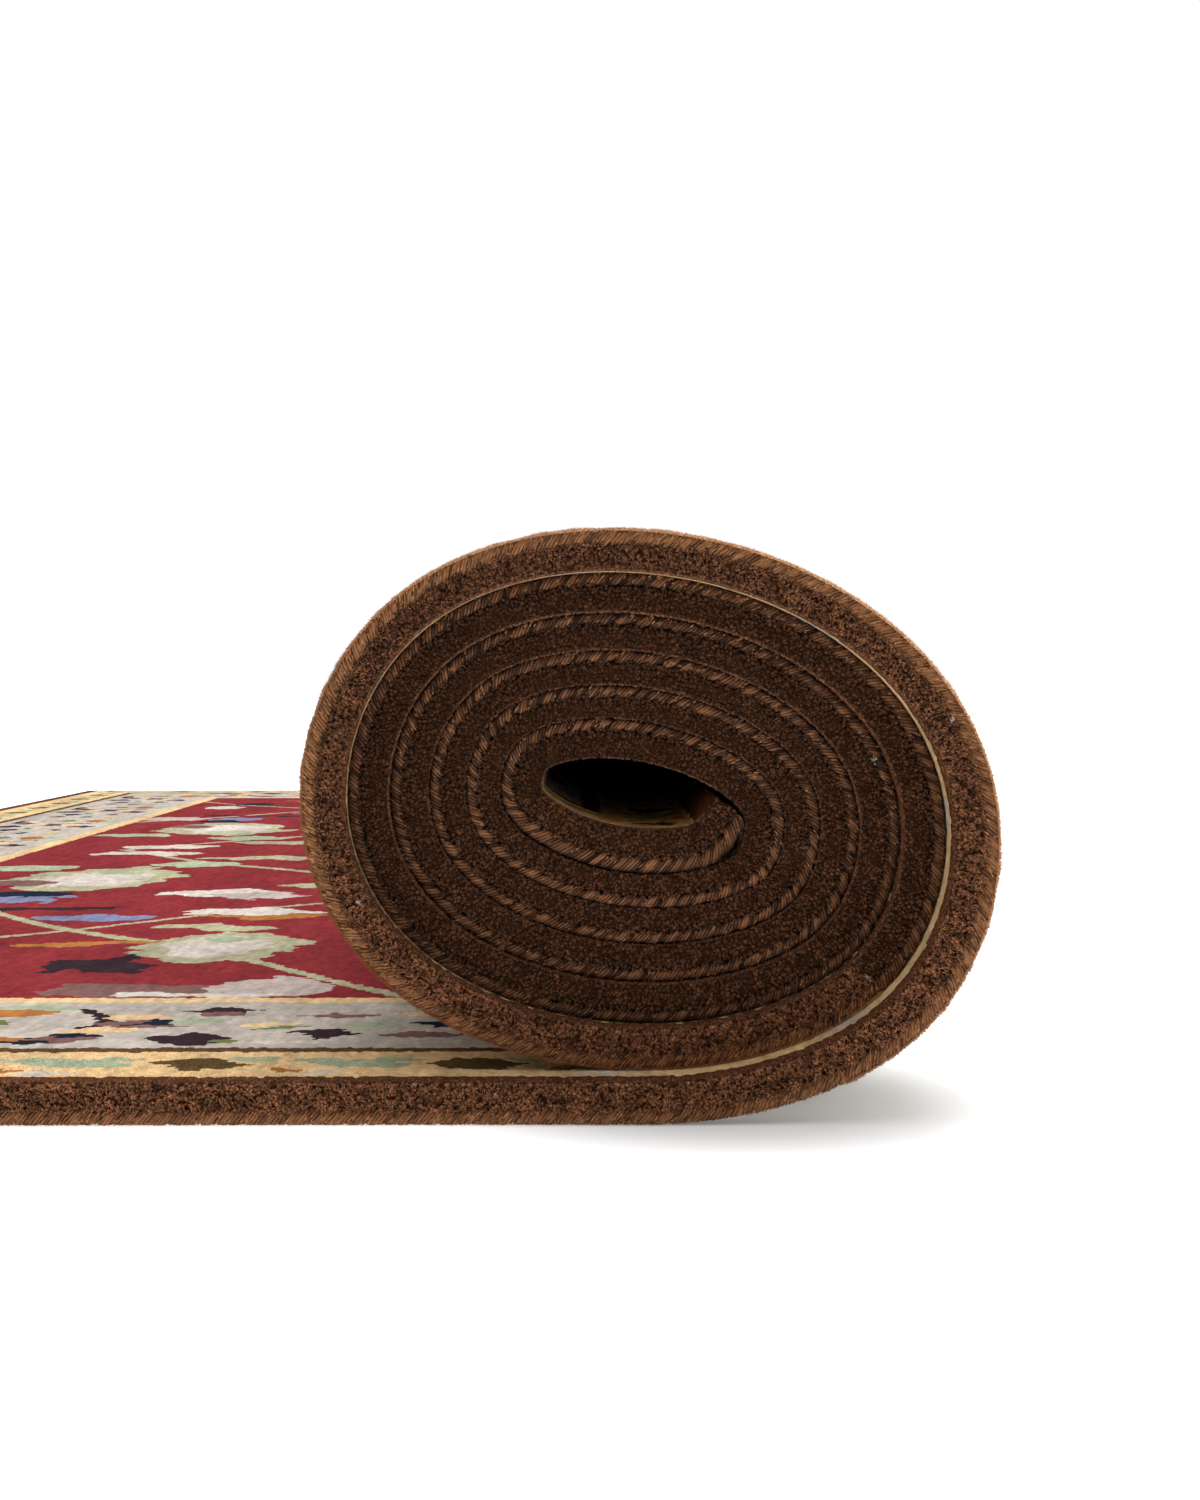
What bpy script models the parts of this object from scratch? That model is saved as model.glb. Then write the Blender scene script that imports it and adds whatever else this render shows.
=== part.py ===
"""A thick wool rug rolled up with its pile inside, one end left lying flat on the floor.

The roll's axis runs along Y, the rug is wound in the XZ plane, and its back rests on z = 0.
The cut edges are overcast all round with wool yarn, which stands as a bead along the edge of the back.
"""

import math
from collections import namedtuple

import bmesh
import bpy

MM = 0.001

# ---- the rug, in millimetres ----
RUG_WIDTH = 1830.0
FLAT_TAIL = 582.0

# How far the roll reaches from its centre line, every 30 degrees round from +X towards +Z:
# outer is the outside of the outermost turn, inner the outside of the turn round the core.
Reach = namedtuple("Reach", "direction_deg outer inner")
REACHES = (
    Reach(0, 108.0, 36.5),
    Reach(30, 98.3, 29.0),
    Reach(60, 86.4, 17.7),
    Reach(90, 84.4, 16.7),
    Reach(120, 95.2, 28.0),
    Reach(150, 106.2, 37.3),
    Reach(180, 112.0, 41.0),
    Reach(210, 110.3, 38.3),
    Reach(240, 102.0, 29.9),
    Reach(270, 96.4, 26.7),
    Reach(300, 104.1, 34.2),
    Reach(330, 110.6, 39.1),
)
WOUND_TURNS = 6.0       # turns between the outer reaches and the inner ones
OUTER_LOOSENESS = 0.13  # the outer turns are this much thicker than the mean, the inner ones thinner
STEPS_PER_TURN = 32
WINDING_STEPS = 193     # just over six turns
LOWEST = -math.pi / 2   # the winding starts where the roll touches the floor

TURN_GAP = 0.4          # air between one turn's pile and the next turn's back
CORE_THICKNESS = 12.0   # the turn round the core has nothing pressing on its pile
CORE_FROM_TURN = 4.95
CORE_EASE_TURNS = 0.35

END_LIFT = 1.6          # the last stretch lifts off the turn under it
LIFT_FROM_TURN = 5.6
LIFT_EASE_TURNS = 0.4
END_RADIUS = 15.5       # and the rug's inner end curls up on this radius, at its back
END_ARC = math.radians(45)
END_STEPS = 4

EDGE_SLIP = 44.0        # how far the core's edge has slipped along the axis
SLIP_TURNS = 1.6        # turns in which most of that slip builds up

# ---- sections across the rug's edge, in millimetres ----
BEAD_WIDTH = 6.8        # overcast margin, across the rug
BEAD_HEIGHT = 4.5       # and through its thickness, from the back up
BEAD_CHAMFER = 1.3
PIECE_GAP = 0.3
PILE_SHOULDER = (2.2, 2.6)  # the pile's rounded top edge: across, and down from its top

PILE_BROWN = (0.098, 0.036, 0.016, 1.0)
YARN_BROWN = (0.224, 0.098, 0.045, 1.0)


def reach_terms(values):
    """The smooth closed curve through evenly spaced values, as (wave number, cosine, sine) terms."""
    count = len(values)
    terms = [(0, sum(values) / count, 0.0)]
    for wave in range(1, count // 2 + 1):
        angles = [2 * math.pi * wave * i / count for i in range(count)]
        share = 2.0 / count if wave < count // 2 else 1.0 / count
        cosine = share * sum(v * math.cos(a) for v, a in zip(values, angles))
        sine = share * sum(v * math.sin(a) for v, a in zip(values, angles))
        terms.append((wave, cosine, sine))
    return terms


OUTER_TERMS = reach_terms([row.outer for row in REACHES])
INNER_TERMS = reach_terms([row.inner for row in REACHES])
CENTRE_HEIGHT = REACHES[9].outer


def along_terms(terms, angle):
    return sum(c * math.cos(w * angle) + s * math.sin(w * angle) for w, c, s in terms)


def turns_at(angle):
    return (angle - LOWEST) / (2 * math.pi)


def ease(value, start, length):
    share = min(max((value - start) / length, 0.0), 1.0)
    return share * share * (3 - 2 * share)


def back_reach(angle):
    """Distance from the centre line to the back's tangent whose normal points at this winding angle."""
    share = turns_at(angle) / WOUND_TURNS
    wound = (1 + OUTER_LOOSENESS) * share - OUTER_LOOSENESS * share * share
    outer = along_terms(OUTER_TERMS, angle)
    inner = along_terms(INNER_TERMS, angle)
    return outer - (outer - inner) * wound


def thickness(angle):
    """The rug fills the space between its own turns, and is free of them round the core."""
    pressed = back_reach(angle) - back_reach(angle + 2 * math.pi) - TURN_GAP
    core = ease(turns_at(angle), CORE_FROM_TURN, CORE_EASE_TURNS)
    return pressed * (1 - core) + CORE_THICKNESS * core


def back_line(angle):
    return back_reach(angle) - END_LIFT * ease(turns_at(angle), LIFT_FROM_TURN, LIFT_EASE_TURNS)


def pile_line(angle):
    return back_line(angle) - thickness(angle)


def tangent_point(reach_at, angle):
    """The point of a wound line whose normal is at this angle: x from the centre line, z from the floor."""
    step = 1e-4
    reach = reach_at(angle)
    along = (reach_at(angle + step) - reach_at(angle - step)) / (2 * step)
    x = reach * math.cos(angle) - along * math.sin(angle)
    z = reach * math.sin(angle) + along * math.cos(angle)
    return x, z + CENTRE_HEIGHT


# One place along the rug: the back and the pile's top, in the XZ plane, and the edge's slip along Y.
Station = namedtuple("Station", "back pile slip")


def edge_slip(turns):
    return EDGE_SLIP * (1 - math.exp(-turns / SLIP_TURNS))


def tail_station(distance):
    """A station of the flat tail, at a distance outwards from the start of the roll."""
    x, _ = tangent_point(back_line, LOWEST)
    return Station((x - distance, 0.0), (x - distance, thickness(LOWEST)), 0.0)


def wound_station(step):
    angle = LOWEST + 2 * math.pi * step / STEPS_PER_TURN
    back = tangent_point(back_line, angle)
    pile = tangent_point(pile_line, angle)
    return Station(back, pile, edge_slip(turns_at(angle)))


def end_station(step):
    """A station of the curled inner end, on an arc that carries on from the winding."""
    start = LOWEST + 2 * math.pi * WINDING_STEPS / STEPS_PER_TURN
    angle = start + END_ARC * step / END_STEPS
    x, z = tangent_point(back_line, start)
    centre = (x - END_RADIUS * math.cos(start), z - END_RADIUS * math.sin(start))
    normal = (math.cos(angle), math.sin(angle))
    back = tuple(c + END_RADIUS * n for c, n in zip(centre, normal))
    pile = tuple(c + (END_RADIUS - CORE_THICKNESS) * n for c, n in zip(centre, normal))
    return Station(back, pile, edge_slip(turns_at(angle)))


def beyond(station, before, distance):
    """A station straight on from the last one."""
    run = math.dist(station.back, before.back)
    scale = distance / run
    moved = [
        tuple(p + (p_end - p_start) * scale for p, p_end, p_start in zip(point, station.back, before.back))
        for point in (station.back, station.pile)
    ]
    slip = station.slip + (station.slip - before.slip) * scale
    return Station(moved[0], moved[1], slip)


def rug_stations():
    """From the rug's flat end to its inner end, without the margins that the end bindings take."""
    tail = tail_station(FLAT_TAIL - BEAD_WIDTH - PIECE_GAP)
    wound = [wound_station(step) for step in range(WINDING_STEPS + 1)]
    end = [end_station(step) for step in range(1, END_STEPS + 1)]
    return [tail] + wound + end


def place(station, across, up):
    """A point of a section: across is measured from the near edge, up from the back. Returns metres."""
    run = [top - low for low, top in zip(station.back, station.pile)]
    height = math.hypot(*run)
    x, z = (low + part * up / height for low, part in zip(station.back, run))
    return x * MM, (across + station.slip) * MM, z * MM


def depth(station):
    return math.dist(station.back, station.pile)


def mirrored(half):
    """Closes a section drawn from the near edge's back to its pile with its mirror image at the far edge."""
    return half + [(RUG_WIDTH - across, up) for across, up in reversed(half)]


def pile_section(station, low):
    """The pile above a height: from edge to edge, with rounded top edges."""
    top = depth(station)
    across, down = PILE_SHOULDER
    return mirrored([(0.0, low), (0.0, top - down), (across, top)])


def rug_section(station):
    """The backing, narrower by the bindings' margins, and the pile over it."""
    margin = BEAD_WIDTH + PIECE_GAP
    low = BEAD_HEIGHT + PIECE_GAP
    pile = pile_section(station, low)
    return [(margin, 0.0), (margin, low)] + pile + [(RUG_WIDTH - margin, low), (RUG_WIDTH - margin, 0.0)]


def bead_section(start, end):
    """A bead that lies between two distances across the rug, chamfered where it faces outwards."""
    toward = 1 if end > start else -1
    return [
        (start + toward * BEAD_CHAMFER, 0.0),
        (start, BEAD_CHAMFER),
        (start, BEAD_HEIGHT - BEAD_CHAMFER),
        (start + toward * BEAD_CHAMFER, BEAD_HEIGHT),
        (end, BEAD_HEIGHT),
        (end, 0.0),
    ]


class Loft:
    """A closed solid grown ring by ring."""

    def __init__(self, name, colour, collection):
        self.mesh = bmesh.new()
        self.name = name
        self.colour = colour
        self.collection = collection

    def ring(self, points):
        return [self.mesh.verts.new(point) for point in points]

    def skin(self, first, second):
        count = len(first)
        for i in range(count):
            j = (i + 1) % count
            self.mesh.faces.new((first[i], first[j], second[j], second[i]))

    def cap(self, verts):
        self.mesh.faces.new(verts)

    def finish(self):
        bmesh.ops.recalc_face_normals(self.mesh, faces=self.mesh.faces)
        if self.mesh.calc_volume(signed=True) < 0:
            bmesh.ops.reverse_faces(self.mesh, faces=self.mesh.faces)
        data = bpy.data.meshes.new(self.name)
        self.mesh.to_mesh(data)
        self.mesh.free()
        data.shade_smooth()
        data.set_sharp_from_angle(angle=math.radians(35))
        data.materials.append(plain_material(self.name, self.colour))
        self.collection.objects.link(bpy.data.objects.new(self.name, data))


def plain_material(name, colour):
    material = bpy.data.materials.new(name)
    material.use_nodes = True
    shader = material.node_tree.nodes["Principled BSDF"]
    shader.inputs["Base Color"].default_value = colour
    shader.inputs["Roughness"].default_value = 0.95
    shader.inputs["Metallic"].default_value = 0.0
    return material


def section_ring(loft, station, section):
    return loft.ring([place(station, across, up) for across, up in section])


def make_rug(collection):
    loft = Loft("rug", PILE_BROWN, collection)
    stations = rug_stations()
    rings = [section_ring(loft, station, rug_section(station)) for station in stations]
    for first, second in zip(rings, rings[1:]):
        loft.skin(first, second)
    margin = BEAD_WIDTH + PIECE_GAP
    ends = (
        (stations[0], stations[1], rings[0]),
        (stations[-1], stations[-2], rings[-1]),
    )
    for station, before, ring in ends:
        # The pile runs on over the end binding; the backing stops short of it.
        last = beyond(station, before, margin)
        pile_start = ring[2:-2]
        pile_end = section_ring(loft, last, pile_section(last, BEAD_HEIGHT + PIECE_GAP))
        for i in range(len(pile_start) - 1):
            loft.cap((pile_start[i], pile_start[i + 1], pile_end[i + 1], pile_end[i]))
        loft.cap(pile_end)
        # the pile's underside beyond the backing, and the backing's own end
        loft.cap((pile_end[0], pile_start[0], ring[1], ring[-2], pile_start[-1], pile_end[-1]))
        loft.cap((ring[0], ring[1], ring[-2], ring[-1]))
    loft.finish()


def make_side_binding(name, start, end, collection):
    """A bead along one long side, over the rug's whole length."""
    loft = Loft(name, YARN_BROWN, collection)
    stations = rug_stations()
    margin = BEAD_WIDTH + PIECE_GAP
    outer = beyond(stations[0], stations[1], margin)
    inner = beyond(stations[-1], stations[-2], margin)
    section = bead_section(start, end)
    rings = [section_ring(loft, station, section) for station in [outer] + stations + [inner]]
    for first, second in zip(rings, rings[1:]):
        loft.skin(first, second)
    loft.cap(rings[0])
    loft.cap(rings[-1])
    loft.finish()


def make_end_binding(name, station, before, collection):
    """A bead across one end of the rug, between the two side bindings."""
    loft = Loft(name, YARN_BROWN, collection)
    margin = BEAD_WIDTH + PIECE_GAP
    across = (margin, RUG_WIDTH - margin)
    profile = bead_section(margin, PIECE_GAP)
    rings = []
    for side in across:
        points = [place(beyond(station, before, out), side, up) for out, up in profile]
        rings.append(loft.ring(points))
    loft.skin(*rings)
    loft.cap(rings[0])
    loft.cap(rings[1])
    loft.finish()


def centre_on_floor(collection):
    """Moves the object so that the middle of its footprint is the origin."""
    corners = [vert.co for item in collection.objects for vert in item.data.vertices]
    middle = [
        (max(c[axis] for c in corners) + min(c[axis] for c in corners)) / 2 for axis in (0, 1)
    ]
    lowest = min(c[2] for c in corners)
    for item in collection.objects:
        for vert in item.data.vertices:
            vert.co.x -= middle[0]
            vert.co.y -= middle[1]
            vert.co.z -= lowest


def main():
    for item in list(bpy.data.objects):
        bpy.data.objects.remove(item)
    collection = bpy.data.collections.new("rolled_up_carpet")
    bpy.context.scene.collection.children.link(collection)
    stations = rug_stations()
    make_rug(collection)
    make_side_binding("overcast_side_near", 0.0, BEAD_WIDTH, collection)
    make_side_binding("overcast_side_far", RUG_WIDTH, RUG_WIDTH - BEAD_WIDTH, collection)
    make_end_binding("overcast_end_outer", stations[0], stations[1], collection)
    make_end_binding("overcast_end_inner", stations[-1], stations[-2], collection)
    centre_on_floor(collection)


main()
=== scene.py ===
"""A thick wool rug rolled up with its pile inside, one end left lying flat.

The rug is one line, wound in the XZ plane and drawn out along Y. Every piece is laid out on the flat rug,
by how far along it is, how far across from the near edge and how far up from its back, and then wound.
"""

import math
from collections import namedtuple

import bmesh
import bpy
import numpy as np
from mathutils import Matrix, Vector, noise


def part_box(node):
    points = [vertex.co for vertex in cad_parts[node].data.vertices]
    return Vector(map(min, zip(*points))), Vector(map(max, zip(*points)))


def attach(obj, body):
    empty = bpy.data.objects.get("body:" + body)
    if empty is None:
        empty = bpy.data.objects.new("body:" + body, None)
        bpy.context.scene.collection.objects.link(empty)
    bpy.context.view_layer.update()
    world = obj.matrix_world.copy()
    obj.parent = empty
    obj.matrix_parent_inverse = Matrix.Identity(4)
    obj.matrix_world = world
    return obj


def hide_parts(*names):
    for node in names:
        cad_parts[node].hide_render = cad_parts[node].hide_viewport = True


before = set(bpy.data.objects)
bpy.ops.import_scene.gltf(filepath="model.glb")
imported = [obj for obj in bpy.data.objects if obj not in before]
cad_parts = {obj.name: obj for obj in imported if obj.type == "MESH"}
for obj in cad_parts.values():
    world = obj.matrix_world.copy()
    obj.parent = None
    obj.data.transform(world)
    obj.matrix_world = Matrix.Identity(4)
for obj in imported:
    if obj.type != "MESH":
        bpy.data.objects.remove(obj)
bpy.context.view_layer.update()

MM = 0.001

# ---- the rug and its winding, in millimetres ----
RUG_WIDTH = 1830.0
FLAT_TAIL = 582.0

Reach = namedtuple("Reach", "direction_deg outer inner")
REACHES = (
    Reach(0, 108.0, 36.5),
    Reach(30, 98.3, 29.0),
    Reach(60, 86.4, 17.7),
    Reach(90, 84.4, 16.7),
    Reach(120, 95.2, 28.0),
    Reach(150, 106.2, 37.3),
    Reach(180, 112.0, 41.0),
    Reach(210, 110.3, 38.3),
    Reach(240, 102.0, 29.9),
    Reach(270, 96.4, 26.7),
    Reach(300, 104.1, 34.2),
    Reach(330, 110.6, 39.1),
)
WOUND_TURNS = 6.0
LAST_TURN = 193 / 32    # where the winding ends and the inner end curls up
OUTER_LOOSENESS = 0.13
LOWEST = -math.pi / 2
TURN_GAP = 0.4
CORE_THICKNESS = 12.0
CORE_FROM_TURN = 4.95
CORE_EASE_TURNS = 0.35
END_LIFT = 1.6
LIFT_FROM_TURN = 5.6
LIFT_EASE_TURNS = 0.4
END_RADIUS = 15.5
END_ARC = math.radians(45)
EDGE_SLIP = 44.0
SLIP_TURNS = 1.6

BEAD_WIDTH = 6.8
BEAD_HEIGHT = 4.5
PIECE_GAP = 0.3
MARGIN = BEAD_WIDTH + PIECE_GAP
END_SPAN = RUG_WIDTH - 2 * MARGIN   # the length of the beads on the two short edges
OVERRUN = 8.0           # the line is drawn this far past both ends, for the beads there
ON_FLOOR = FLAT_TAIL + 40.0     # the bead rests on the floor up to here,
FUZZ_ON_FLOOR = FLAT_TAIL + 30.0    # its fibres up to here,
OFF_FLOOR = FLAT_TAIL + 60.0    # and from here on the back is well clear of it
END_SPRING = 2.0        # the soft inner end springs out this much further
OUTSIDE_TURNS = 1.12    # the outermost turn's edge is loose and lit, up to here

CAD_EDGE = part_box("overcast_side_near")
TAIL_END_X = CAD_EDGE[0][0] / MM
NEAR_EDGE_Y = CAD_EDGE[0][1] / MM

# ---- wool colours, sRGB ----
EDGE_BROWN = "#6b422c"
GUARD_GOLD = "#f4cf9a"
LINE_BROWN = "#6a4c34"
BORDER_BEIGE = "#cbbfb4"
FIELD_RED = "#933439"
CREAM = "#dacdc0"
WHITE_WOOL = "#e4d8cd"
SAGE = "#b4bd9e"
VINE_GREEN = "#bcb795"
AUBERGINE = "#3b2a31"
NAVY = "#20283a"
MAUVE = "#8a645f"
ORANGE_BROWN = "#b97a42"
LILAC = "#8a8db0"
LEAF_BROWN = "#6b5433"
OLIVE = "#7d8654"
GREY_PINK = "#cabab2"

# ---- the borders, inwards from every edge, in millimetres ----
Band = namedtuple("Band", "start colour")
BANDS = (
    Band(0.0, EDGE_BROWN),
    Band(10.4, GUARD_GOLD),
    Band(54.5, LINE_BROWN),
    Band(62.0, BORDER_BEIGE),
    Band(162.0, GUARD_GOLD),
    Band(174.0, FIELD_RED),
)
BORDER_WIDTH = 174.0
RAMP_LENGTH = 200.0     # the colour ramp that paints the bands runs this far in
FIELD_REPEAT = 460.0

# What repeats along a border: how long it is, and how far along the edge it first starts.
Repeat = namedtuple("Repeat", "length start")
GUARD_REPEAT = Repeat(84.0, 49.0)
BORDER_REPEAT = Repeat(216.0, 109.0)

# A patch of one yarn. centre and half are in millimetres: in a border, first along the edge and then in
# from it; in the field, first in from the long edge and then in from the short one. turn is in degrees.
Patch = namedtuple("Patch", "shape colour centre half turn")


def ease(value, start, length):
    share = np.clip((value - start) / length, 0.0, 1.0)
    return share * share * (3 - 2 * share)


def reach_terms(values):
    """The smooth closed curve through evenly spaced values, as (wave number, cosine, sine) terms."""
    count = len(values)
    terms = [(0, sum(values) / count, 0.0)]
    for wave in range(1, count // 2 + 1):
        angles = [2 * math.pi * wave * i / count for i in range(count)]
        share = 2.0 / count if wave < count // 2 else 1.0 / count
        cosine = share * sum(v * math.cos(a) for v, a in zip(values, angles))
        sine = share * sum(v * math.sin(a) for v, a in zip(values, angles))
        terms.append((wave, cosine, sine))
    return terms


OUTER_TERMS = reach_terms([row.outer for row in REACHES])
INNER_TERMS = reach_terms([row.inner for row in REACHES])
CENTRE_HEIGHT = REACHES[9].outer


def along_terms(terms, angle):
    return sum(c * np.cos(w * angle) + s * np.sin(w * angle) for w, c, s in terms)


def turns_at(angle):
    return (angle - LOWEST) / (2 * math.pi)


def back_reach(angle):
    """Distance from the centre line to the back's tangent whose normal points at this winding angle."""
    share = turns_at(angle) / WOUND_TURNS
    wound = (1 + OUTER_LOOSENESS) * share - OUTER_LOOSENESS * share * share
    outer = along_terms(OUTER_TERMS, angle)
    inner = along_terms(INNER_TERMS, angle)
    return outer - (outer - inner) * wound


def thickness(angle):
    pressed = back_reach(angle) - back_reach(angle + 2 * math.pi) - TURN_GAP
    core = ease(turns_at(angle), CORE_FROM_TURN, CORE_EASE_TURNS)
    return pressed * (1 - core) + CORE_THICKNESS * core


def back_line(angle):
    return back_reach(angle) - END_LIFT * ease(turns_at(angle), LIFT_FROM_TURN, LIFT_EASE_TURNS)


def pile_line(angle):
    return back_line(angle) - thickness(angle)


def tangent_points(reach_at, angle):
    """A wound line's points with normals at these angles: x from the centre line, z from the floor."""
    step = 1e-4
    reach = reach_at(angle)
    along = (reach_at(angle + step) - reach_at(angle - step)) / (2 * step)
    x = reach * np.cos(angle) - along * np.sin(angle)
    z = reach * np.sin(angle) + along * np.cos(angle) + CENTRE_HEIGHT
    return np.stack([x, z], axis=-1)


def edge_slip(turns):
    return EDGE_SLIP * (1 - np.exp(-turns / SLIP_TURNS))


class WoundRug:
    """Where the flat rug ends up once it is wound."""

    def __init__(self):
        tail = np.linspace(FLAT_TAIL + OVERRUN, 0.0, 200, endpoint=False)
        start = tangent_points(back_line, LOWEST)
        tail_back = np.stack([start[0] - tail, np.zeros_like(tail)], axis=-1)
        tail_pile = tail_back + (0.0, thickness(LOWEST))

        winding = LOWEST + 2 * math.pi * np.linspace(0.0, LAST_TURN, 5000)
        wound_back = tangent_points(back_line, winding)
        wound_pile = tangent_points(pile_line, winding)

        curl = np.linspace(0.0, END_ARC, 30)[1:] + winding[-1]
        normal = np.stack([np.cos(curl), np.sin(curl)], axis=-1)
        last = np.array([math.cos(winding[-1]), math.sin(winding[-1])])
        curl_centre = wound_back[-1] - END_RADIUS * last
        curl_back = curl_centre + END_RADIUS * normal
        curl_pile = curl_centre + (END_RADIUS - CORE_THICKNESS) * normal

        onward = np.array([-math.sin(curl[-1]), math.cos(curl[-1])])
        past = onward * np.linspace(0.0, MARGIN + OVERRUN, 10)[1:, None]
        self.back = np.concatenate([tail_back, wound_back, curl_back, curl_back[-1] + past])
        self.pile = np.concatenate([tail_pile, wound_pile, curl_pile, curl_pile[-1] + past])
        angles = np.concatenate([np.full(len(tail), LOWEST), winding, curl,
                                 np.full(len(past), curl[-1])])
        self.turns = turns_at(angles)
        self.slip = edge_slip(self.turns)
        steps = np.hypot(*np.diff(self.back, axis=0).T)
        self.along = np.concatenate([[0.0], np.cumsum(steps)]) - OVERRUN
        self.length = self.along[-1] - OVERRUN + END_SPRING
        self.roll_x = TAIL_END_X + FLAT_TAIL - start[0]

    def read(self, values, along):
        return np.interp(along, self.along, values)

    def depth(self, along):
        """The rug's whole thickness, from the back to the pile's top."""
        run = self.pile - self.back
        return self.read(np.hypot(run[:, 0], run[:, 1]), along)

    def turn(self, along):
        return self.read(self.turns, along)

    def along_at_turn(self, turn):
        wound = self.turns > 0
        return float(np.interp(turn, self.turns[wound], self.along[wound]))

    def place(self, along, across, up):
        """Wound places in metres for flat ones in millimetres."""
        back = [self.read(self.back[:, i], along) for i in (0, 1)]
        run = [self.read(self.pile[:, i], along) - back[i] for i in (0, 1)]
        height = np.hypot(*run)
        x = back[0] + run[0] / height * up + self.roll_x
        y = across + self.read(self.slip, along) + NEAR_EDGE_Y
        z = back[1] + run[1] / height * up
        return np.stack(np.broadcast_arrays(x, y, z), axis=-1) * MM


RUG = WoundRug()


# ---- meshes ----

def make_piece(name, points, faces, materials, flat, values=None, face_materials=None):
    """A mesh piece. flat holds each point's place on the flat rug and its height, in metres."""
    data = bpy.data.meshes.new(name)
    count, corners = faces.shape
    data.vertices.add(len(points))
    data.vertices.foreach_set("co", points.astype(np.float32).ravel())
    data.loops.add(faces.size)
    data.loops.foreach_set("vertex_index", faces.astype(np.int32).ravel())
    data.polygons.add(count)
    data.polygons.foreach_set("loop_start", np.arange(0, faces.size, corners, dtype=np.int32))
    for material in materials:
        data.materials.append(material)
    if face_materials is not None:
        data.polygons.foreach_set("material_index", face_materials.astype(np.int32))
    data.update(calc_edges=True)
    data.validate()
    data.shade_smooth()
    place = data.attributes.new("flat", "FLOAT_VECTOR", "POINT")
    place.data.foreach_set("vector", flat.astype(np.float32).ravel())
    for key, value in (values or {}).items():
        layer = data.attributes.new(key, "FLOAT", "POINT")
        layer.data.foreach_set("value", value.astype(np.float32).ravel())
    piece = bpy.data.objects.new(name, data)
    bpy.context.scene.collection.objects.link(piece)
    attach(piece, "root")
    return piece


def grid_faces(rows, columns, closed=False):
    """Quads of a grid of points, row by row. closed joins each row's end to its start."""
    row = np.arange(rows - 1)[:, None] * columns
    column = np.arange(columns if closed else columns - 1)[None, :]
    following = (column + 1) % columns
    corners = [row + column, row + following, row + columns + following, row + columns + column]
    return np.stack(corners, axis=-1).reshape(-1, 4)


NOISE_SPREAD = 1.6      # spreads Blender's noise, mostly within 0.6 of nought, over -1 to 1


def bumps(along, up, size, seed):
    """Smooth noise, -1 to 1, over a face of the rug. size is a bump's width in millimetres."""
    places = np.stack(np.broadcast_arrays(along / size, up / size, np.full_like(along, seed)), axis=-1)
    flat_places = places.reshape(-1, 3)
    values = [noise.noise(tuple(place)) for place in flat_places.tolist()]
    return np.array(values).reshape(places.shape[:-1]) * NOISE_SPREAD


RUG_STEP = 2.6          # along the rug, between the rings of its mesh
PRESSED_BEAD = 3.1      # the bead's height where the turns inside press on it
PRESSED_FROM_TURN = 0.7
PRESSED_EASE_TURNS = 0.8


def bead_height(along):
    pressed = ease(RUG.turn(along), PRESSED_FROM_TURN, PRESSED_EASE_TURNS)
    return BEAD_HEIGHT + (PRESSED_BEAD - BEAD_HEIGHT) * pressed


def make_rug(pile, backing, roots):
    """The pile and the backing it is tufted into, as one sheet."""
    along = np.linspace(0.0, RUG.length, int(RUG.length / RUG_STEP) + 1)
    depth = RUG.depth(along)
    low = bead_height(along) + PIECE_GAP
    # the near edge, from the backing up over the pile's shoulder: (across, share of the pile's height)
    edge = ((MARGIN, None), (MARGIN, 0.0), (2.2, 0.0), (1.5, 0.14), (1.2, 0.36), (1.1, 0.56), (1.2, 0.76),
            (1.45, 0.92), (2.2, 0.99), (4.2, 1.0))
    top_middle = (11.8, 30.0, 60.0, 120.0, 250.0, 450.0, 700.0)
    half = list(edge) + [(across, 1.0) for across in top_middle]
    section = [(across, share, 1) for across, share in half]
    section += [(RUG_WIDTH / 2, 1.0, 0)]
    section += [(across, share, -1) for across, share in reversed(half)]
    section += [(RUG_WIDTH - across, None, 0) for across in (250.0, 600.0, 1230.0, 1580.0)]
    points, flat = [], []
    for across, share, side in section:
        up = np.zeros_like(along) if share is None else low + (depth - low) * share
        shift = 0.0
        if share and across <= 30.0:
            shift = 0.35 * bumps(along, up, 4.0, side) + 0.3 * bumps(along, up, 11.0, 3 + side)
        place = across + shift if side >= 0 else RUG_WIDTH - across - shift
        place = np.broadcast_to(place, along.shape)
        points.append(RUG.place(along, place, up))
        flat.append(np.stack([place * MM, along * MM, up * MM], axis=-1))
    points = np.stack(points, axis=1)
    flat = np.stack(flat, axis=1)
    columns = len(section)
    faces = grid_faces(len(along), columns, closed=True)
    # of the columns of faces, 1 to 7 and their mirror image are the sides, the last 6 and the first the back
    column = np.arange(columns)
    mirror = columns - 6 - column
    column_material = np.zeros(columns, dtype=int)
    column_material[(column >= columns - 6) | (column == 0)] = 1
    column_material[np.isin(column, range(1, 8)) | np.isin(mirror, range(1, 8))] = 2
    rug = make_piece("pile_and_backing", points.reshape(-1, 3), faces, [pile, backing, roots],
                     flat.reshape(-1, 3), face_materials=np.tile(column_material, len(along) - 1))
    close_ends(rug, len(along), columns)
    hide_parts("rug")
    return rug


def close_ends(piece, rows, columns):
    """Closes the two open ends of a lofted piece with one face each."""
    mesh = bmesh.new()
    mesh.from_mesh(piece.data)
    mesh.verts.ensure_lookup_table()
    first = [mesh.verts[i] for i in range(columns)]
    last = [mesh.verts[(rows - 1) * columns + i] for i in range(columns)]
    mesh.faces.new(list(reversed(first)))
    mesh.faces.new(last)
    bmesh.ops.recalc_face_normals(mesh, faces=mesh.faces)
    mesh.to_mesh(piece.data)
    mesh.free()


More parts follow.
